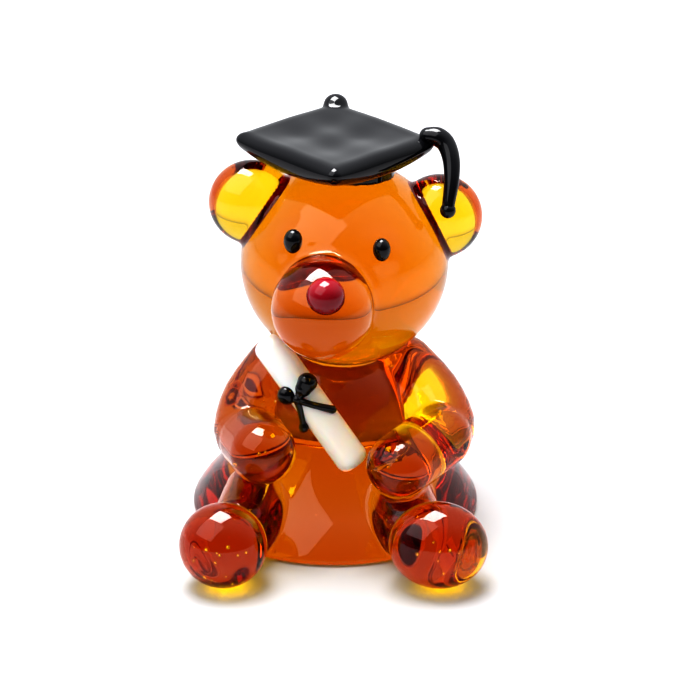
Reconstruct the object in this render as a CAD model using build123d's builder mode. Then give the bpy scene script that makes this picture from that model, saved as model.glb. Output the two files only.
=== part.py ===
from build123d import *
import math
import os

# A seated glass teddy bear in a graduation cap, sizes in millimetres.
# The bear sits on the ground plane and faces -Y; left and right are the bear's own.

# --- driving dimensions -------------------------------------------------------

# lower body: a low dome ground flat underneath, with a rounder tummy on it
BELLY_FOOT_RADIUS = 21.8
BELLY_SINK = 11.5
BELLY_RIM_FILLET = 1.1
BELLY_CENTRE = Vector(0, -0.6, 0)
TUMMY_RADIUS = 14.0
TUMMY_CENTRE = Vector(0, -0.4, 8.6)

# upper body, between the dome and the head
CHEST_RADIUS = 12.0
CHEST_CENTRE = Vector(0.3, -0.2, 15.6)

# head and face
HEAD_RADIUS = 15.0
HEAD_CENTRE = Vector(1.4, -1.0, 38.8)
MUZZLE_RADIUS = 7.15
MUZZLE_CENTRE = Vector(-1.6, -17.3, 38.3)
NOSE_RADIUS = 2.6
NOSE_CENTRE = Vector(-1.1, -22.3, 42.3)
EYE_HALF_HEIGHT = 1.7
EYE_RADIUS = 1.3
EYE_LEFT_CENTRE = Vector(6.6, -13.6, 45.6)
EYE_RIGHT_CENTRE = Vector(-5.7, -12.2, 46.3)

# ears: flattened balls
EAR_RADIUS = 6.2
EAR_HALF_THICKNESS = 5.0
EAR_LEFT_CENTRE = Vector(15.0, -0.2, 45.4)
EAR_RIGHT_CENTRE = Vector(-11.8, -0.6, 47.7)

# arms: thick bent rods with rounded paws
ARM_LEFT_RADIUS = 4.9
ARM_LEFT_PATH = [Vector(9.6, -1.6, 22.4), Vector(17.6, -8.0, 15.2), Vector(9.2, -18.0, 14.2)]
ARM_RIGHT_RADIUS = 4.9
ARM_RIGHT_PATH = [Vector(-7.8, -1.6, 22.2), Vector(-14.2, -7.6, 14.2), Vector(-10.3, -15.8, 15.6)]
ELBOW_BEND = 5.4

# legs: short stubs that end in round feet
LEG_LEFT_RADIUS = 5.3
LEG_LEFT_PATH = [Vector(8.6, -11.5, 5.9), Vector(10.9, -20.2, 5.7)]
LEG_RIGHT_RADIUS = 5.1
LEG_RIGHT_PATH = [Vector(-11.0, -11.5, 5.7), Vector(-13.2, -20.0, 5.5)]
FOOT_LEFT_RADIUS = 6.3
FOOT_LEFT_STRETCH = 1.11
FOOT_LEFT_HALF_DEPTH = 5.5
FOOT_LEFT_ROLL = 8
FOOT_LEFT_CENTRE = Vector(14.6, -26.9, 6.35)
FOOT_RIGHT_RADIUS = 6.2
FOOT_RIGHT_HALF_DEPTH = 5.5
FOOT_RIGHT_CENTRE = Vector(-15.6, -26.7, 6.2)

# graduation cap
BAND_RADIUS = 6.8
BAND_FOOT_Z = 50.4
BAND_CENTRE = Vector(1.8, 0, 0)
BOARD_CENTRE = Vector(0.1, 0, 57.0)
BOARD_SIDE = 21.8
BOARD_CORNER_RADIUS = 1.9
BOARD_THICKNESS = 2.5
BOARD_EDGE_FILLET = 1.1
BOARD_DISH_RADIUS = 62.0
BOARD_DISH_DEPTH = 0.75
BOARD_BULGE_RADIUS = 11.5
BOARD_BULGE_DEPTH = 2.9
BOARD_ROLL = 1.4
BOARD_PITCH = 1.0
NUB_RADIUS = 1.5

# tassel
TASSEL_PATH = [
    Vector(13.4, -0.2, 57.5),
    Vector(15.7, -0.9, 56.9),
    Vector(16.6, -2.6, 54.8),
    Vector(16.5, -4.5, 51.8),
    Vector(16.0, -6.0, 48.5),
]
TASSEL_ROOT_RADIUS = 1.35
TASSEL_TIP_RADIUS = 0.82
TASSEL_END_RADIUS = 1.12

# rolled diploma: an opal rod with rounded ends
SCROLL_RADIUS = 2.4
SCROLL_END_FILLET = 1.7
SCROLL_TOP = Vector(-10.0, -7.9, 29.6)
SCROLL_BOTTOM = Vector(3.2, -14.6, 12.6)

# ribbon on the diploma
KNOT_RADIUS = 0.72
KNOT_CENTRE = Vector(-5.3, -13.3, 22.5)
LOOP_UPPER_CENTRE = Vector(-3.9, -12.8, 24.9)
LOOP_UPPER_RADIUS = 1.45
LOOP_NECK_RADIUS = 0.5
LOOP_SHOULDER_RADIUS = 1.25
LOOP_LOWER_CENTRE = Vector(-6.8, -12.1, 22.6)
LOOP_LOWER_RADIUS = 1.4
TAIL_RADIUS = 0.48
TAIL_LONG_PATH = [Vector(-5.0, -13.3, 22.4), Vector(-2.8, -13.8, 21.9), Vector(-0.3, -13.2, 20.9)]
TAIL_SHORT_PATH = [Vector(-5.3, -13.2, 22.1), Vector(-4.7, -13.4, 19.9), Vector(-4.4, -13.2, 18.2)]
TAIL_END_RADIUS = 0.72


# --- shared shapes ------------------------------------------------------------

def drop(centre, long_direction, half_length, radius, mode=Mode.ADD):
    """A ball of glass drawn out or flattened along one direction."""
    ball = Sphere(radius, mode=Mode.PRIVATE)
    drawn_ball = scale(ball, by=(1, 1, half_length / radius), mode=Mode.PRIVATE)
    with Locations(Plane(origin=centre, z_dir=long_direction)):
        add(drawn_ball, mode=mode)


def rod_end(tip, outward, radius):
    """The rounded end of a glass rod."""
    outward = outward.normalized()
    helper = Vector(0, 0, 1) if abs(outward.Z) < 0.9 else Vector(0, 1, 0)
    end_plane = Plane(origin=tip, x_dir=outward, z_dir=outward.cross(helper))
    with BuildSketch(end_plane) as quarter:
        Circle(radius)
        Rectangle(4 * radius, 2 * radius, align=(Align.CENTER, Align.MAX), mode=Mode.SUBTRACT)
        Rectangle(2 * radius, 4 * radius, align=(Align.MAX, Align.CENTER), mode=Mode.SUBTRACT)
    return revolve(quarter.sketch, axis=Axis(tip, outward))


def straight_rod(start, end, radius):
    """A straight rod of glass with two rounded ends."""
    along = end - start
    with BuildSketch(Plane(origin=start, z_dir=along)) as section:
        Circle(radius)
    extrude(section.sketch, amount=along.length)
    rod_end(start, start - end, radius)
    rod_end(end, end - start, radius)


def bent_rod(points, bend, radius):
    """A rod bent once at its middle point, with two rounded ends."""
    start, corner, end = points
    to_start = start - corner
    to_end = end - corner
    bend_plane = Plane(origin=corner, x_dir=to_start, z_dir=to_start.cross(to_end))
    flat = [bend_plane.to_local_coords(point) for point in points]
    with BuildLine(bend_plane) as centre_line:
        FilletPolyline(*[(point.X, point.Y) for point in flat], radius=bend)
    with BuildSketch(Plane(origin=start, z_dir=corner - start)) as section:
        Circle(radius)
    sweep(section.sketch, path=centre_line.line)
    rod_end(start, start - corner, radius)
    rod_end(end, end - corner, radius)


def drawn_thread(points, root_radius, tip_radius):
    """A curved thread of glass that thins from its root to its tip."""
    with BuildLine() as centre_line:
        Spline(*points)
    wire = centre_line.line
    with BuildSketch(Plane(origin=wire @ 0, z_dir=wire % 0)) as root:
        Circle(root_radius)
    with BuildSketch(Plane(origin=wire @ 0.5, z_dir=wire % 0.5)) as middle:
        Circle((root_radius + tip_radius) / 2)
    with BuildSketch(Plane(origin=wire @ 1, z_dir=wire % 1)) as tip:
        Circle(tip_radius)
    sweep([root.sketch, middle.sketch, tip.sketch], path=wire, multisection=True)
    rod_end(wire @ 0, (wire % 0) * -1, root_radius)
    rod_end(wire @ 1, wire % 1, tip_radius)


# --- body ---------------------------------------------------------------------

with BuildPart() as scroll:
    scroll_run = SCROLL_BOTTOM - SCROLL_TOP
    with BuildSketch(Plane(origin=SCROLL_TOP, z_dir=scroll_run)) as scroll_section:
        Circle(SCROLL_RADIUS)
    extrude(amount=scroll_run.length)
    fillet(scroll.edges().filter_by(GeomType.CIRCLE), SCROLL_END_FILLET)

with BuildPart() as belly:
    with Locations(BELLY_CENTRE - Vector(0, 0, BELLY_SINK)):
        Sphere(math.hypot(BELLY_FOOT_RADIUS, BELLY_SINK))
    with Locations(TUMMY_CENTRE):
        Sphere(TUMMY_RADIUS)
    split(bisect_by=Plane.XY, keep=Keep.TOP)
    fillet(belly.faces().sort_by(Axis.Z)[0].edges(), BELLY_RIM_FILLET)
    add(scroll.part, mode=Mode.SUBTRACT)

with BuildPart() as whole_head:
    with Locations(HEAD_CENTRE):
        Sphere(HEAD_RADIUS)

with BuildPart() as nose:
    with Locations(NOSE_CENTRE):
        Sphere(NOSE_RADIUS)

with BuildPart() as eye_left:
    drop(EYE_LEFT_CENTRE, Vector(0, 0, 1), EYE_HALF_HEIGHT, EYE_RADIUS)

with BuildPart() as eye_right:
    drop(EYE_RIGHT_CENTRE, Vector(0, 0, 1), EYE_HALF_HEIGHT, EYE_RADIUS)

with BuildPart() as head:
    add(whole_head.part)
    for inset in (nose, eye_left, eye_right, scroll):
        add(inset.part, mode=Mode.SUBTRACT)

with BuildPart() as muzzle:
    with Locations(MUZZLE_CENTRE):
        Sphere(MUZZLE_RADIUS)
    add(whole_head.part, mode=Mode.SUBTRACT)
    add(nose.part, mode=Mode.SUBTRACT)
    add(scroll.part, mode=Mode.SUBTRACT)

with BuildPart() as chest:
    with Locations(CHEST_CENTRE):
        Sphere(CHEST_RADIUS)
    for neighbour in (belly, whole_head, scroll):
        add(neighbour.part, mode=Mode.SUBTRACT)

with BuildPart() as ear_left:
    drop(EAR_LEFT_CENTRE, Vector(0.1, 1, 0.15), EAR_HALF_THICKNESS, EAR_RADIUS)
    add(whole_head.part, mode=Mode.SUBTRACT)

with BuildPart() as ear_right:
    drop(EAR_RIGHT_CENTRE, Vector(-0.1, 1, 0.15), EAR_HALF_THICKNESS, EAR_RADIUS)
    add(whole_head.part, mode=Mode.SUBTRACT)

# --- limbs --------------------------------------------------------------------

with BuildPart() as arm_left:
    bent_rod(ARM_LEFT_PATH, ELBOW_BEND, ARM_LEFT_RADIUS)
    for neighbour in (chest, belly, whole_head, scroll):
        add(neighbour.part, mode=Mode.SUBTRACT)

with BuildPart() as arm_right:
    bent_rod(ARM_RIGHT_PATH, ELBOW_BEND, ARM_RIGHT_RADIUS)
    for neighbour in (chest, belly, whole_head, scroll):
        add(neighbour.part, mode=Mode.SUBTRACT)

with BuildPart() as stretched_foot:
    drop(Vector(0, 0, 0), Vector(0, 1, 0), FOOT_LEFT_HALF_DEPTH, FOOT_LEFT_RADIUS)
    scale(by=(FOOT_LEFT_STRETCH, 1, 1))

with BuildPart() as foot_left:
    with Locations(Location(FOOT_LEFT_CENTRE, (0, FOOT_LEFT_ROLL, 0))):
        add(stretched_foot.part)

with BuildPart() as foot_right:
    drop(FOOT_RIGHT_CENTRE, Vector(0, 1, 0), FOOT_RIGHT_HALF_DEPTH, FOOT_RIGHT_RADIUS)

with BuildPart() as leg_left:
    straight_rod(*LEG_LEFT_PATH, LEG_LEFT_RADIUS)
    for neighbour in (belly, chest, foot_left, arm_left):
        add(neighbour.part, mode=Mode.SUBTRACT)

with BuildPart() as leg_right:
    straight_rod(*LEG_RIGHT_PATH, LEG_RIGHT_RADIUS)
    for neighbour in (belly, chest, foot_right, arm_right):
        add(neighbour.part, mode=Mode.SUBTRACT)

# --- cap ----------------------------------------------------------------------

with BuildPart() as level_board:
    with BuildSketch() as board_outline:
        Rectangle(BOARD_SIDE, BOARD_SIDE, rotation=45)
        fillet(board_outline.vertices(), BOARD_CORNER_RADIUS)
    extrude(amount=BOARD_THICKNESS / 2, both=True)
    fillet(level_board.faces().filter_by(Axis.Z).edges(), BOARD_EDGE_FILLET)
    with Locations((0, 0, BOARD_THICKNESS / 2 + BOARD_DISH_RADIUS - BOARD_DISH_DEPTH)):
        Sphere(BOARD_DISH_RADIUS, mode=Mode.SUBTRACT)
    drop(Vector(0, 0, -BOARD_THICKNESS / 4), Vector(0, 0, 1), BOARD_BULGE_DEPTH, BOARD_BULGE_RADIUS)
    with Locations((0, BOARD_SIDE / math.sqrt(2) - BOARD_CORNER_RADIUS, BOARD_THICKNESS / 4)):
        Sphere(NUB_RADIUS)

with BuildPart() as cap_board:
    with Locations(Location(BOARD_CENTRE, (BOARD_PITCH, BOARD_ROLL, 0))):
        add(level_board.part)
    add(whole_head.part, mode=Mode.SUBTRACT)

with BuildPart() as cap_band:
    with BuildSketch(Plane(origin=BAND_CENTRE + Vector(0, 0, BAND_FOOT_Z))):
        Circle(BAND_RADIUS)
    extrude(amount=BOARD_CENTRE.Z - BAND_FOOT_Z)
    for neighbour in (whole_head, cap_board):
        add(neighbour.part, mode=Mode.SUBTRACT)

with BuildPart() as tassel_end:
    with Locations(TASSEL_PATH[-1]):
        Sphere(TASSEL_END_RADIUS)

with BuildPart() as tassel_cord:
    drawn_thread(TASSEL_PATH, TASSEL_ROOT_RADIUS, TASSEL_TIP_RADIUS)
    add(cap_board.part, mode=Mode.SUBTRACT)
    add(tassel_end.part, mode=Mode.SUBTRACT)

# --- ribbon -------------------------------------------------------------------

with BuildPart() as ribbon_knot:
    with Locations(KNOT_CENTRE):
        Sphere(KNOT_RADIUS)
    add(scroll.part, mode=Mode.SUBTRACT)

with BuildPart() as ribbon_loop_upper:
    loop_run = LOOP_UPPER_CENTRE - KNOT_CENTRE
    with Locations(LOOP_UPPER_CENTRE):
        Sphere(LOOP_UPPER_RADIUS)
    with Locations(Plane(origin=KNOT_CENTRE, z_dir=loop_run)):
        Cone(LOOP_NECK_RADIUS, LOOP_SHOULDER_RADIUS, loop_run.length,
             align=(Align.CENTER, Align.CENTER, Align.MIN))
    add(scroll.part, mode=Mode.SUBTRACT)
    add(ribbon_knot.part, mode=Mode.SUBTRACT)

with BuildPart() as ribbon_loop_lower:
    with Locations(LOOP_LOWER_CENTRE):
        Sphere(LOOP_LOWER_RADIUS)
    add(scroll.part, mode=Mode.SUBTRACT)
    add(ribbon_knot.part, mode=Mode.SUBTRACT)

with BuildPart() as ribbon_tail_long:
    drawn_thread(TAIL_LONG_PATH, TAIL_RADIUS, TAIL_RADIUS)
    for neighbour in (scroll, ribbon_knot, ribbon_loop_upper):
        add(neighbour.part, mode=Mode.SUBTRACT)

with BuildPart() as ribbon_tail_short:
    drawn_thread(TAIL_SHORT_PATH, TAIL_RADIUS, TAIL_RADIUS)
    with Locations(TAIL_SHORT_PATH[-1]):
        Sphere(TAIL_END_RADIUS)
    add(scroll.part, mode=Mode.SUBTRACT)
    add(ribbon_knot.part, mode=Mode.SUBTRACT)

# --- named pieces -------------------------------------------------------------

PIECES = {
    "belly": belly,
    "chest": chest,
    "head": head,
    "muzzle": muzzle,
    "nose": nose,
    "eye_left": eye_left,
    "eye_right": eye_right,
    "ear_left": ear_left,
    "ear_right": ear_right,
    "arm_left": arm_left,
    "arm_right": arm_right,
    "leg_left": leg_left,
    "leg_right": leg_right,
    "foot_left": foot_left,
    "foot_right": foot_right,
    "cap_board": cap_board,
    "cap_band": cap_band,
    "tassel_cord": tassel_cord,
    "tassel_end": tassel_end,
    "scroll": scroll,
    "ribbon_knot": ribbon_knot,
    "ribbon_loop_upper": ribbon_loop_upper,
    "ribbon_loop_lower": ribbon_loop_lower,
    "ribbon_tail_long": ribbon_tail_long,
    "ribbon_tail_short": ribbon_tail_short,
}

os.makedirs("parts", exist_ok=True)
for piece_name, piece in PIECES.items():
    piece.part.label = piece_name
    export_step(piece.part, f"parts/{piece_name}.step")
    bounds = piece.part.bounding_box()
    print(
        piece_name,
        f"solids {len(piece.part.solids())}",
        f"volume {piece.part.volume:.2f}",
        f"x {bounds.min.X:.2f}..{bounds.max.X:.2f}",
        f"y {bounds.min.Y:.2f}..{bounds.max.Y:.2f}",
        f"z {bounds.min.Z:.2f}..{bounds.max.Z:.2f}",
    )
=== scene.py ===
import math

import bmesh
import bpy
import numpy as np
from mathutils import Matrix, Vector


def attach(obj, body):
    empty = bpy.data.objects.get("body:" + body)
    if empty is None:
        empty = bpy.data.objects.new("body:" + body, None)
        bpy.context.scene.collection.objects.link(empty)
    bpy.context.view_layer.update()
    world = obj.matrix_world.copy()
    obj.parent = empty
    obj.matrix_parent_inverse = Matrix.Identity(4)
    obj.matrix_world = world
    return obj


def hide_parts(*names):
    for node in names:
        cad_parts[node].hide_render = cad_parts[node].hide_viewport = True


# A seated glass bear in a graduation cap, who holds a diploma tied with ribbon.
# Shapes are described in millimetres and become metres when a mesh is made.
# Left and right are the bear's own. The bear faces -Y and sits on z = 0.

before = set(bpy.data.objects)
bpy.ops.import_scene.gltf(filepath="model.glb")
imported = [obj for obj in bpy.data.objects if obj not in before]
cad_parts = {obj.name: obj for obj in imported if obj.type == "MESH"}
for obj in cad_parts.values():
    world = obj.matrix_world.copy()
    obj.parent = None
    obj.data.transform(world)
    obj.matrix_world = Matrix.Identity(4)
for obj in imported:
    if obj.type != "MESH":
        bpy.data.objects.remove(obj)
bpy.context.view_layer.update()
MM = 0.001


# --- distance fields: negative inside the glass, in millimetres ------------------

def ball(points, centre, radii):
    """A ball or an oval; radii is one number or three."""
    offset = points - np.array(centre)
    scaled = offset / np.array(radii)
    near = np.linalg.norm(scaled, axis=-1)
    steep = np.linalg.norm(scaled / np.array(radii), axis=-1)
    return np.where(near < 0.01, -np.min(radii), near * (near - 1.0) / np.maximum(steep, 1e-9))


def turned(points, centre, angle_x, angle_y):
    """Points as seen by a piece at centre that was turned about X, then about Y."""
    offset = points - np.array(centre)
    cos_y, sin_y = math.cos(math.radians(-angle_y)), math.sin(math.radians(-angle_y))
    x = cos_y * offset[..., 0] + sin_y * offset[..., 2]
    z = -sin_y * offset[..., 0] + cos_y * offset[..., 2]
    cos_x, sin_x = math.cos(math.radians(-angle_x)), math.sin(math.radians(-angle_x))
    y = cos_x * offset[..., 1] - sin_x * z
    z = sin_x * offset[..., 1] + cos_x * z
    return np.stack([x, y, z], -1)


def rod(points, knots):
    """A rod through knots (x, y, z, radius), as tapered runs with round ends."""
    nearest = None
    for first, second in zip(knots[:-1], knots[1:]):
        start = np.array(first[:3])
        along = np.array(second[:3]) - start
        offset = points - start
        share = np.clip(offset @ along / (along @ along), 0.0, 1.0)
        axis_point = share[..., None] * along
        radius = first[3] + share * (second[3] - first[3])
        run = np.linalg.norm(offset - axis_point, axis=-1) - radius
        nearest = run if nearest is None else np.minimum(nearest, run)
    return nearest


def rounded_box(sides, rounding):
    """How far each point is outside a box, from its signed distance to each pair of sides."""
    inner = sides + rounding
    outside = np.linalg.norm(np.maximum(inner, 0.0), axis=-1)
    return outside + np.minimum(np.max(inner, axis=-1), 0.0) - rounding


def weld(first, second, fillet):
    """Two gathers of glass melted into one another, with a rounded crease."""
    overlap = np.maximum(fillet - np.abs(first - second), 0.0) / fillet
    return np.minimum(first, second) - overlap * overlap * fillet * 0.25


def trim(first, second, rounding):
    """What the two solids share, with a rounded edge."""
    return -weld(-first, -second, rounding)


def spline(knots, steps):
    """Points of a smooth curve through the knots, with steps points for each stretch."""
    k = np.array([knots[0]] + list(knots) + [knots[-1]], float)
    curve = []
    for i in range(1, len(k) - 2):
        for s in np.linspace(0, 1, steps, endpoint=False):
            pull = k[i + 1] - k[i - 1]
            bend = 2 * k[i - 1] - 5 * k[i] + 4 * k[i + 1] - k[i + 2]
            twist = 3 * k[i] - k[i - 1] - 3 * k[i + 1] + k[i + 2]
            curve.append(0.5 * (2 * k[i] + pull * s + bend * s ** 2 + twist * s ** 3))
    curve.append(k[-2])
    return [tuple(point) for point in curve]


# --- from a field to a mesh ------------------------------------------------------

BLOCK = 4                # cells in one block of the first, rough search
BLOCK_MARGIN = 1.2       # how far past a block the surface may still be
PULL = 0.6               # how strongly a point moves to the middle of its neighbours
SLOPE_STEP = 0.02        # share of a cell, to measure a slope
LAST_SETTLES = 3


def slope_of(field, points, step, here):
    """Which way, and how fast, the field grows at each point."""
    steps = np.eye(3) * step
    return np.stack([(field(points + steps[axis]) - here) / step for axis in range(3)], -1)


def settle(field, points, step, reach):
    """Moves points along the field's slope until they lie on the surface."""
    here = field(points)
    slope = slope_of(field, points, step, here)
    steep = np.maximum((slope * slope).sum(-1), 0.05)
    return points - np.clip(here / steep, -reach, reach)[:, None] * slope


def sampled(field, low, high, cell):
    """A grid and the field on it: exact near the surface, rough elsewhere."""
    axes = [np.arange(low[i], high[i] + cell, cell) for i in range(3)]
    grid = np.stack(np.meshgrid(*axes, indexing="ij"), -1)
    starts = [axis[::BLOCK] + (BLOCK - 1) * cell / 2 for axis in axes]
    value = field(np.stack(np.meshgrid(*starts, indexing="ij"), -1))
    for axis in range(3):
        value = np.repeat(value, BLOCK, axis=axis)
    value = value[tuple(slice(0, len(axis)) for axis in axes)].copy()
    near = np.abs(value) < BLOCK * cell * BLOCK_MARGIN
    value[near] = field(grid[near])
    return grid, value


def wrapped(grid, value, cell):
    """Points and four-sided faces that wrap the surface, one point for each cell it crosses."""
    inside = value < 0
    total = np.zeros((*(np.array(value.shape) - 1), 3))
    hits = np.zeros(total.shape[:3])
    loops = []
    for axis in range(3):
        ahead = [slice(None)] * 3
        behind = [slice(None)] * 3
        ahead[axis] = slice(1, None)
        behind[axis] = slice(None, -1)
        ahead = tuple(ahead)
        behind = tuple(behind)
        crossed = inside[behind] != inside[ahead]
        where = np.argwhere(crossed)
        share = value[behind][crossed] / (value[behind][crossed] - value[ahead][crossed])
        spot = grid[behind][crossed].copy()
        spot[:, axis] += share * cell
        side, other_side = (axis + 1) % 3, (axis + 2) % 3
        corners = []
        for step, other_step in ((0, 0), (-1, 0), (-1, -1), (0, -1)):
            owner = where.copy()
            owner[:, side] += step
            owner[:, other_side] += other_step
            np.add.at(total, tuple(owner.T), spot)
            np.add.at(hits, tuple(owner.T), 1)
            corners.append(owner)
        loop = np.stack(corners, 1)
        inward = ~inside[behind][crossed]
        loop[inward] = loop[inward][:, ::-1]
        loops.append(loop)
    loops = np.concatenate(loops)
    used = hits > 0
    number = np.full(hits.shape, -1)
    number[used] = np.arange(used.sum())
    points = total[used] / hits[used][:, None]
    return points, number[loops[..., 0], loops[..., 1], loops[..., 2]]


def smoothed(field, points, faces, cell, rounds):
    """Evens out the points, and brings them back onto the surface after each round."""
    pairs = np.concatenate([faces[:, [i, (i + 1) % 4]] for i in range(4)])
    for round_number in range(rounds + 1):
        if round_number:
            pull = np.zeros_like(points)
            links = np.zeros(len(points))
            np.add.at(pull, pairs[:, 0], points[pairs[:, 1]])
            np.add.at(links, pairs[:, 0], 1)
            points = (1.0 - PULL) * points + PULL * pull / links[:, None]
        for _ in range(LAST_SETTLES if round_number == rounds else 1):
            points = settle(field, points, cell * SLOPE_STEP, cell)
    return points


def skin(name, field, low, high, cell, rounds):
    """A closed, evenly meshed surface where the field is zero, as an object."""
    grid, value = sampled(field, low, high, cell)
    points, faces = wrapped(grid, value, cell)
    points = smoothed(field, points, faces, cell, rounds)
    mesh = bpy.data.meshes.new(name)
    mesh.from_pydata((points * MM).tolist(), [], faces.tolist())
    mesh.update()
    mesh.polygons.foreach_set("use_smooth", np.ones(len(mesh.polygons), bool))
    thing = bpy.data.objects.new(name, mesh)
    bpy.context.scene.collection.objects.link(thing)
    return thing


def true_normals(mesh, field, count):
    """Gives the first count points the field's own direction, which is smoother than the faces'."""
    spots = np.empty(len(mesh.vertices) * 3)
    mesh.vertices.foreach_get("co", spots)
    normals = np.empty(len(mesh.vertices) * 3)
    mesh.vertices.foreach_get("normal", normals)
    spots = spots.reshape(-1, 3)[:count] / MM
    normals = normals.reshape(-1, 3)
    slope = slope_of(field, spots, 0.01, field(spots))
    normals[:count] = slope / np.linalg.norm(slope, axis=1)[:, None]
    mesh.normals_split_custom_set_from_vertices(normals.tolist())


# --- finishes --------------------------------------------------------------------

GLASS_IOR = 1.5
RIPPLES_PER_METRE = 90.0
RIPPLE_HEIGHT = 0.0004
AMBER_ABSORPTION = (0.962, 0.856, 0.0)
AMBER_DENSITY = 400.0


def glass(name, colour, clear, roughness, ripple):
    """Fire-polished glass with a faint hand-made ripple."""
    material = bpy.data.materials.new(name)
    material.use_nodes = True
    tree = material.node_tree
    shader = tree.nodes["Principled BSDF"]
    shader.inputs["Base Color"].default_value = (*colour, 1.0)
    shader.inputs["Roughness"].default_value = roughness
    shader.inputs["IOR"].default_value = GLASS_IOR
    shader.inputs["Transmission Weight"].default_value = clear
    place = tree.nodes.new("ShaderNodeTexCoord")
    waves = tree.nodes.new("ShaderNodeTexNoise")
    waves.inputs["Scale"].default_value = RIPPLES_PER_METRE
    waves.inputs["Detail"].default_value = 1.0
    bump = tree.nodes.new("ShaderNodeBump")
    bump.inputs["Strength"].default_value = ripple
    bump.inputs["Distance"].default_value = RIPPLE_HEIGHT
    tree.links.new(place.outputs["Object"], waves.inputs["Vector"])
    tree.links.new(waves.outputs["Fac"], bump.inputs["Height"])
    tree.links.new(bump.outputs["Normal"], shader.inputs["Normal"])
    return material


def amber_glass():
    """Clear glass that is yellow where it is thin, and orange to red where it is thick."""
    material = glass("amber_clear", (1.0, 0.97, 0.85), 1.0, 0.0, 0.12)
    tree = material.node_tree
    volume = tree.nodes.new("ShaderNodeVolumeAbsorption")
    volume.inputs["Color"].default_value = (*AMBER_ABSORPTION, 1.0)
    volume.inputs["Density"].default_value = AMBER_DENSITY
    tree.links.new(volume.outputs["Volume"], tree.nodes["Material Output"].inputs["Volume"])
    return material


def opal_glass():
    """White glass that lets a little light in under its surface."""
    material = glass("white_opal", (0.98, 0.97, 0.95), 0.0, 0.1, 0.15)
    shader = material.node_tree.nodes["Principled BSDF"]
    shader.inputs["Subsurface Weight"].default_value = 0.4
    shader.inputs["Subsurface Scale"].default_value = 0.003
    return material


# Each finish is a material and a slot name.
AMBER = (amber_glass(), "amber_glass")
BLACK = (glass("black_opaque", (0.01, 0.01, 0.012), 0.0, 0.06, 0.25), "black_glass")
OPAL = (opal_glass(), "white_opal_glass")
RED = (glass("red_translucent", (0.25, 0.01, 0.022), 0.0, 0.05, 0.1), "red_glass")


def finish_piece(thing, finish, *nodes):
    """Gives a piece its glass and its place in the frame."""
    material, slot = finish
    thing.data.materials.append(material)
    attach(thing, "root")
    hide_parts(*nodes)


def small_piece(node, field, low, high, cell, finish):
    """One piece of coloured glass, in place of the node of the same name."""
    finish_piece(skin(node + "_glass", field, low, high, cell, 2), finish, node)


# --- the bear's clear amber glass ------------------------------------------------

BELLY_CENTRE = (0.0, -0.6, -11.5)
BELLY_FOOT_RADIUS = 21.8
BELLY_RADIUS = math.hypot(BELLY_FOOT_RADIUS, BELLY_CENTRE[2])
BELLY_FOOT_ROUNDING = 1.6
TUMMY = ((0.0, -0.4, 8.6), 14.0)
CHEST = ((0.3, -0.2, 15.6), 12.0)
HEAD = ((1.4, -1.0, 38.8), (15.0, 15.0, 14.8))
MUZZLE = ((-1.6, -17.3, 38.3), 7.15)
EARS = [((15.0, -0.2, 45.4), (6.2, 5.0, 6.2)), ((-11.8, -0.6, 47.7), (6.2, 5.0, 6.2))]
EYES = {
    "eye_left": ((6.6, -13.6, 45.6), (1.25, 1.3, 1.65)),
    "eye_right": ((-5.7, -12.2, 46.3), (1.35, 1.3, 1.75)),
}
BROW_RADIUS = 4.6        # the low mound that each eye sits on
BROW_RISE = 0.45

# Limbs are rods through (x, y, z, radius).
UPPER_ARM_LEFT = [(9.8, -1.8, 22.2, 5.0), (13.4, -4.2, 19.0, 5.0), (15.4, -7.6, 16.2, 4.9),
                  (15.2, -10.4, 15.4, 4.4)]
UPPER_ARM_RIGHT = [(-8.2, -1.8, 22.0, 5.0), (-11.4, -4.2, 18.2, 5.05), (-12.6, -7.6, 15.2, 5.0),
                   (-12.0, -10.4, 15.0, 4.4)]
FOREARM_LEFT = [(14.9, -11.4, 15.7, 4.75), (9.2, -18.0, 14.3, 4.75)]
FOREARM_RIGHT = [(-11.9, -11.4, 15.0, 4.6), (-10.3, -15.8, 15.6, 4.8)]
LEG_LEFT = [(8.6, -11.5, 5.9, 5.6), (11.0, -19.0, 5.2, 4.9), (13.4, -24.0, 4.9, 3.6)]
LEG_RIGHT = [(-11.0, -11.5, 5.7, 5.4), (-13.2, -18.6, 5.0, 4.7), (-14.8, -24.0, 4.8, 3.4)]
FOOT_LEFT = ((14.6, -26.9, 6.35), (7.0, 5.5, 6.3))
FOOT_LEFT_TURN = 8.0
FOOT_RIGHT = ((-15.6, -26.7, 6.2), (6.2, 5.5, 6.2))

# How softly each gather runs into the glass it was melted onto.
TUMMY_WELD = 4.5
CHEST_WELD = 1.6
LIMB_WELD = 0.9
FOREARM_WELD = 0.5
FOOT_WELD = 0.7
BROW_WELD = 0.9
EAR_WELD = 0.8
MUZZLE_WELD = 1.8
NECK_WELD = 0.9
GROUND_EDGE = 0.3

# The grid that the body's skin is made on.
BODY_LOW = (-23.5, -34.0, -1.2)
BODY_HIGH = (23.5, 22.0, 55.5)
BODY_CELL = 0.4

# Where air is caught in the glass: centre, half size of the cluster, number of seeds.
SEEDS = [
    ((-15.8, -29.4, 4.8), (3.4, 0.9, 2.8), 16),
    ((14.8, -29.5, 6.6), (3.8, 0.9, 3.0), 11),
    ((-8.2, -9.0, 20.5), (0.8, 1.0, 1.4), 4),
    ((0.0, -14.0, 6.0), (9.0, 4.0, 4.0), 7),
    ((-10.4, -15.4, 14.6), (2.4, 2.4, 2.4), 4),
    ((9.6, -17.0, 14.2), (2.4, 2.4, 2.4), 3),
]
SMALLEST_SEED = 0.1
LARGEST_SEED = 0.26


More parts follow.
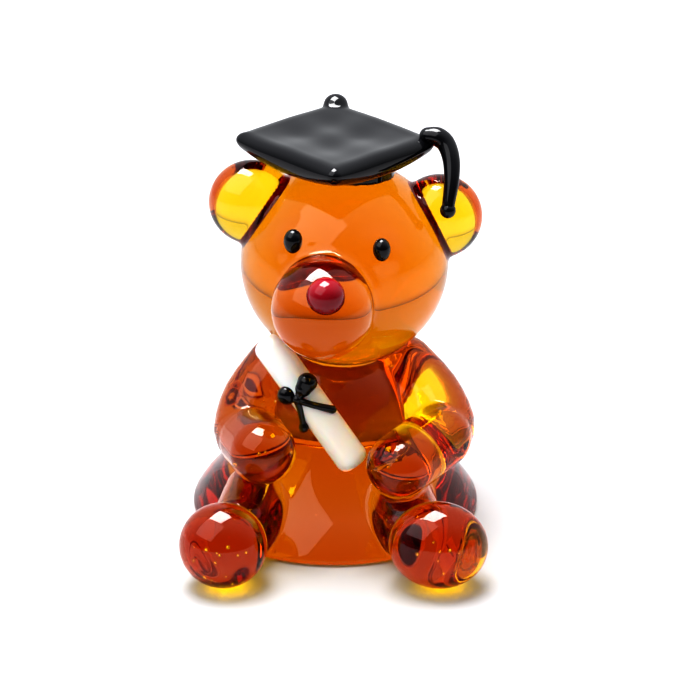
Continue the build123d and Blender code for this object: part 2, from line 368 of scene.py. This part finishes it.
def torso_field(points):
    """The belly, ground flat underneath, with the tummy and the chest melted onto it."""
    belly = weld(ball(points, BELLY_CENTRE, BELLY_RADIUS), ball(points, *TUMMY), TUMMY_WELD)
    belly = trim(belly, -points[..., 2], BELLY_FOOT_ROUNDING)
    return weld(belly, ball(points, *CHEST), CHEST_WELD)


def skull_field(points):
    """The head with its brows, ears and muzzle."""
    skull = ball(points, *HEAD)
    for eye_centre, _ in EYES.values():
        outward = np.array(eye_centre) - np.array(HEAD[0])
        outward *= (HEAD[1][0] - BROW_RADIUS + BROW_RISE) / np.linalg.norm(outward)
        brow = ball(points, np.array(HEAD[0]) + outward, BROW_RADIUS)
        skull = weld(skull, brow, BROW_WELD)
    for centre, radii in EARS:
        skull = weld(skull, ball(points, centre, radii), EAR_WELD)
    return weld(skull, ball(points, *MUZZLE), MUZZLE_WELD)


def body_field(points):
    """All the clear amber glass: the gathers are melted into one mass."""
    whole = torso_field(points)
    for upper_arm, forearm in ((UPPER_ARM_LEFT, FOREARM_LEFT), (UPPER_ARM_RIGHT, FOREARM_RIGHT)):
        whole = weld(whole, rod(points, spline(upper_arm, 3)), LIMB_WELD)
        whole = weld(whole, rod(points, forearm), FOREARM_WELD)
    for leg in (LEG_LEFT, LEG_RIGHT):
        whole = weld(whole, rod(points, leg), LIMB_WELD)
    foot_points = turned(points, FOOT_LEFT[0], 0.0, FOOT_LEFT_TURN)
    whole = weld(whole, ball(foot_points, (0, 0, 0), FOOT_LEFT[1]), FOOT_WELD)
    whole = weld(whole, ball(points, *FOOT_RIGHT), FOOT_WELD)
    whole = weld(whole, skull_field(points), NECK_WELD)
    return trim(whole, -points[..., 2], GROUND_EDGE)


def add_seeds(thing, clusters):
    """Air seeds in the glass: tiny round voids, whose faces look into the air they hold."""
    draw = np.random.RandomState(5)
    shape = bmesh.new()
    shape.from_mesh(thing.data)
    for centre, spread, count in clusters:
        for _ in range(count):
            spot = Vector(np.array(centre) + draw.uniform(-1, 1, 3) * np.array(spread)) * MM
            radius = draw.uniform(SMALLEST_SEED, LARGEST_SEED) * MM
            seed = bmesh.ops.create_icosphere(
                shape, subdivisions=2, radius=radius, matrix=Matrix.Translation(spot))
            faces = {face for vertex in seed["verts"] for face in vertex.link_faces}
            bmesh.ops.reverse_faces(shape, faces=sorted(faces, key=lambda face: face.index))
            for face in faces:
                face.smooth = True
    shape.to_mesh(thing.data)
    shape.free()


body = skin("bear_body", body_field, BODY_LOW, BODY_HIGH, BODY_CELL, 3)
skin_points = len(body.data.vertices)
add_seeds(body, SEEDS)
true_normals(body.data, body_field, skin_points)
finish_piece(body, AMBER, "belly", "chest", "head", "muzzle", "ear_left", "ear_right",
             "arm_left", "arm_right", "leg_left", "leg_right", "foot_left", "foot_right")

# --- the black cap ---------------------------------------------------------------

BOARD_CENTRE = (0.1, 0.0, 57.0)
BOARD_TILT = (1.0, 1.4)            # degrees about X, then about Y
BOARD_HALF_SIDE = 14.9 * math.sqrt(0.5)
BOARD_CORNER = 1.5
BOARD_SIDE_ROUNDING = 2.4
BOARD_FACE_ROUNDING = 0.5
DISH_FLOOR = 0.2                   # height of the top face at its middle
RIM_RISE = 0.95                    # how much higher the rim is
CORNER_DROOP = 0.45
CORNER_UNDERSIDE = 1.35            # depth of the underside at a corner
SIDE_BULGE = 1.7
MIDDLE_BULGE = 0.5
WAVE_HEIGHT = 0.14                 # uneven waves that the flame left on top
NUB = ((0.0, 13.2, 0.7), (1.6, 1.5, 1.3))
NUB_WELD = 1.2

BAND_X = 1.8
BAND_Z = 53.2
BAND_RADIUS = 6.8
BAND_HALF_HEIGHT = 2.9
BAND_EDGE = 0.7
BAND_SEAT = (HEAD[0], (14.9, 14.9, 14.7))
BAND_SEAT_EDGE = 0.15

TASSEL = [(13.2, -0.2, 57.6, 1.2), (14.6, -0.5, 57.5, 1.4), (15.8, -1.1, 56.6, 1.35),
          (16.5, -2.6, 54.7, 1.25), (16.5, -4.4, 52.1, 1.08), (16.1, -5.7, 49.5, 0.92),
          (16.0, -6.0, 48.3, 0.95)]
TASSEL_END = ((16.0, -6.0, 48.5), (1.12, 1.12, 1.12))


def board_field(points):
    """A pillowed square with a raised soft rim, a dished top and a bulged underside."""
    local = turned(points, BOARD_CENTRE, *BOARD_TILT)
    across = (local[..., 0] + local[..., 1]) * math.sqrt(0.5)
    along = (local[..., 0] - local[..., 1]) * math.sqrt(0.5)
    sides = np.stack([np.abs(across), np.abs(along)], -1) - BOARD_HALF_SIDE
    u = np.clip(across / BOARD_HALF_SIDE, -1.1, 1.1)
    v = np.clip(along / BOARD_HALF_SIDE, -1.1, 1.1)
    spread = (u ** 6 + v ** 6) ** (1 / 6)
    corner = (u * v) ** 2
    calm = 1.0 - np.minimum(spread, 1.0) ** 2
    waves = np.cos(local[..., 0] * 0.7 + 0.6) * np.cos(local[..., 1] * 0.6 - 0.4)
    top = DISH_FLOOR + RIM_RISE * spread ** 2.5 - CORNER_DROOP * corner + WAVE_HEIGHT * calm * waves
    bottom = CORNER_UNDERSIDE + SIDE_BULGE * (1.0 - corner) + MIDDLE_BULGE * calm
    slab = trim(local[..., 2] - top, -local[..., 2] - bottom, BOARD_FACE_ROUNDING)
    plate = trim(rounded_box(sides, BOARD_CORNER), slab, BOARD_SIDE_ROUNDING)
    return weld(plate, ball(local, *NUB), NUB_WELD)


def band_field(points):
    """A short round band whose underside fits the head."""
    offset = points - np.array([BAND_X, 0.0, 0.0])
    side = np.linalg.norm(offset[..., :2], axis=-1) - BAND_RADIUS
    tall = np.abs(points[..., 2] - BAND_Z) - BAND_HALF_HEIGHT
    ring = trim(side, tall, BAND_EDGE)
    return trim(ring, -ball(points, *BAND_SEAT), BAND_SEAT_EDGE)


def tassel_field(points):
    """The cord, drawn out thin over the board's corner and down beside the ear."""
    return rod(points, spline(TASSEL, 6))


def tassel_end_field(points):
    """The round drop that ends the cord."""
    return ball(points, *TASSEL_END)


small_piece("cap_board", board_field, (-17, -17, 52), (17, 17.5, 61), 0.3, BLACK)
small_piece("cap_band", band_field, (-6.5, -8.2, 49), (10, 8.2, 57.5), 0.3, BLACK)
small_piece("tassel_cord", tassel_field, (11, -8, 46), (19, 3, 60), 0.2, BLACK)
small_piece("tassel_end", tassel_end_field, (14, -8, 46.5), (18, -4, 50.5), 0.18, BLACK)

# --- the diploma and its ribbon --------------------------------------------------

SCROLL_TOP = np.array((-10.0, -7.9, 29.6))
SCROLL_BOTTOM = np.array((3.2, -14.6, 12.6))
SCROLL_RADIUS = 2.4
SCROLL_END_ROUNDING = 1.5
LOOP_UPPER = [(-5.1, -13.3, 22.9, 0.55), (-4.4, -13.0, 24.1, 1.2), (-3.9, -12.8, 24.9, 1.45)]
LOOP_LOWER = ((-6.8, -12.1, 22.6), (1.4, 1.1, 1.4))
KNOT = ((-5.3, -13.3, 22.5), (0.72, 0.72, 0.72))
TAIL_LONG = [(-5.0, -13.3, 22.4, 0.5), (-3.9, -13.7, 22.1, 0.48),
             (-2.0, -13.8, 21.6, 0.5), (-0.3, -13.2, 20.9, 0.6)]
TAIL_SHORT = [(-5.3, -13.2, 22.1, 0.5), (-4.9, -13.3, 20.8, 0.46),
              (-4.6, -13.3, 19.2, 0.42), (-4.4, -13.2, 18.2, 0.45)]
TAIL_SHORT_DROP = ((-4.4, -13.2, 18.0), (0.72, 0.72, 0.72))
TAIL_SHORT_WELD = 0.5


def scroll_field(points):
    """A round stick with softened ends."""
    run = SCROLL_BOTTOM - SCROLL_TOP
    length = np.linalg.norm(run)
    offset = points - (SCROLL_TOP + SCROLL_BOTTOM) / 2
    along = offset @ (run / length)
    away = np.linalg.norm(offset - along[..., None] * (run / length), axis=-1)
    sides = np.stack([away - SCROLL_RADIUS, np.abs(along) - length / 2], -1)
    return rounded_box(sides, SCROLL_END_ROUNDING)


def loop_upper_field(points):
    return rod(points, LOOP_UPPER)


def loop_lower_field(points):
    return ball(points, *LOOP_LOWER)


def knot_field(points):
    return ball(points, *KNOT)


def tail_long_field(points):
    return rod(points, spline(TAIL_LONG, 6))


def tail_short_field(points):
    """A thin thread that ends in a drop."""
    thread = rod(points, spline(TAIL_SHORT, 6))
    return weld(thread, ball(points, *TAIL_SHORT_DROP), TAIL_SHORT_WELD)


small_piece("scroll", scroll_field, (-14, -19, 9), (7, -4, 33), 0.3, OPAL)
small_piece("ribbon_loop_upper", loop_upper_field, (-7, -15.2, 21), (-1.8, -10.4, 27), 0.12, BLACK)
small_piece("ribbon_loop_lower", loop_lower_field, (-8.6, -14, 20.6), (-5, -10.4, 24.6), 0.12, BLACK)
small_piece("ribbon_knot", knot_field, (-6.6, -14.6, 21.2), (-4, -12, 23.8), 0.1, BLACK)
small_piece("ribbon_tail_long", tail_long_field, (-6.2, -15, 19.6), (1, -12, 23.6), 0.1, BLACK)
small_piece("ribbon_tail_short", tail_short_field, (-6.4, -14.6, 16.6), (-3, -12, 23), 0.1, BLACK)

# --- nose and eyes ---------------------------------------------------------------

NOSE = ((-1.1, -22.3, 42.3), (2.6, 2.6, 2.6))
DOT_MARGIN = 1.4                   # how far past its radius a dot's grid reaches
DOT_CELLS = 11                     # grid cells in a dot's radius


def dot(node, centre, radii, finish):
    """A drop of glass pressed onto the face."""
    reach = DOT_MARGIN * max(radii)
    low = tuple(c - reach for c in centre)
    high = tuple(c + reach for c in centre)
    small_piece(node, lambda points: ball(points, centre, radii), low, high,
                max(radii) / DOT_CELLS, finish)


dot("nose", *NOSE, RED)
for eye, (eye_centre, eye_radii) in EYES.items():
    dot(eye, eye_centre, eye_radii, BLACK)

# --- stage -----------------------------------------------------------------------

FLOOR_SIZE = 3.0
FLOOR_GAP = 0.00006                # keeps the floor clear of the ground foot
FLOOR_COLOUR = (0.42, 0.415, 0.425)
SKY_COLOUR = (0.96, 0.98, 1.0)
SKY_FROM = (0.0, 0.8, 0.6)         # the brightest direction: high, behind the bear


def lay_floor():
    """A plain pale floor."""
    bpy.ops.mesh.primitive_plane_add(size=FLOOR_SIZE, location=(0, 0, -FLOOR_GAP))
    floor = bpy.context.object
    floor.name = "floor"
    stone = bpy.data.materials.new("floor_stone")
    stone.use_nodes = True
    shader = stone.node_tree.nodes["Principled BSDF"]
    shader.inputs["Base Color"].default_value = (*FLOOR_COLOUR, 1.0)
    shader.inputs["Roughness"].default_value = 0.8
    floor.data.materials.append(stone)


def light_room():
    """A room that brightens smoothly, from dark in front of the bear to bright above and behind it."""
    world = bpy.data.worlds.new("room")
    bpy.context.scene.world = world
    world.use_nodes = True
    tree = world.node_tree
    direction = tree.nodes.new("ShaderNodeTexCoord")
    lean = tree.nodes.new("ShaderNodeVectorMath")
    lean.operation = "DOT_PRODUCT"
    lean.inputs[1].default_value = SKY_FROM
    tree.links.new(direction.outputs["Generated"], lean.inputs[0])
    ease = tree.nodes.new("ShaderNodeMapRange")
    ease.interpolation_type = "SMOOTHSTEP"
    ease.inputs["From Min"].default_value = -0.5
    ease.inputs["From Max"].default_value = 0.65
    ease.inputs["To Min"].default_value = 0.08
    ease.inputs["To Max"].default_value = 0.7
    tree.links.new(lean.outputs["Value"], ease.inputs["Value"])
    tree.links.new(ease.outputs["Result"], tree.nodes["Background"].inputs["Strength"])
    tree.nodes["Background"].inputs["Color"].default_value = (*SKY_COLOUR, 1.0)


def softbox(name, place, aim, size, power):
    """A square soft light."""
    lamp = bpy.data.lights.new(name, "AREA")
    lamp.shape = "RECTANGLE"
    lamp.size = size
    lamp.size_y = size
    lamp.energy = power
    thing = bpy.data.objects.new(name, lamp)
    bpy.context.scene.collection.objects.link(thing)
    thing.location = place
    thing.rotation_euler = (Vector(aim) - Vector(place)).to_track_quat("-Z", "Y").to_euler()


lay_floor()
light_room()
softbox("window_light", (-0.5, -0.35, 0.75), (0, 0, 0.03), 0.95, 3.2)
softbox("ceiling_light", (-0.1, 0.15, 0.95), (0, 0.05, 0), 0.6, 13.5)

# --- camera ----------------------------------------------------------------------

CAMERA_AIM = Vector((2.2, 0.0, 24.3)) * MM
CAMERA_DISTANCE = 0.4
CAMERA_ELEVATION = math.radians(24.0)
CAMERA_LENS = 140.4

camera = bpy.data.cameras.new("camera")
camera.sensor_width = 36.0
camera.lens = CAMERA_LENS
camera.clip_start = 0.01
viewer = bpy.data.objects.new("camera", camera)
bpy.context.scene.collection.objects.link(viewer)
line_of_sight = Vector((0, math.cos(CAMERA_ELEVATION), -math.sin(CAMERA_ELEVATION)))
viewer.location = CAMERA_AIM - line_of_sight * CAMERA_DISTANCE
viewer.rotation_euler = line_of_sight.to_track_quat("-Z", "Y").to_euler()
bpy.context.scene.camera = viewer

# Solid glass needs many bounces: light turns back and forth inside it.
scene = bpy.context.scene
scene.view_settings.view_transform = "Standard"
scene.view_settings.look = "Very High Contrast"
scene.cycles.glossy_bounces = 16
scene.cycles.transmission_bounces = 24
scene.cycles.max_bounces = 32
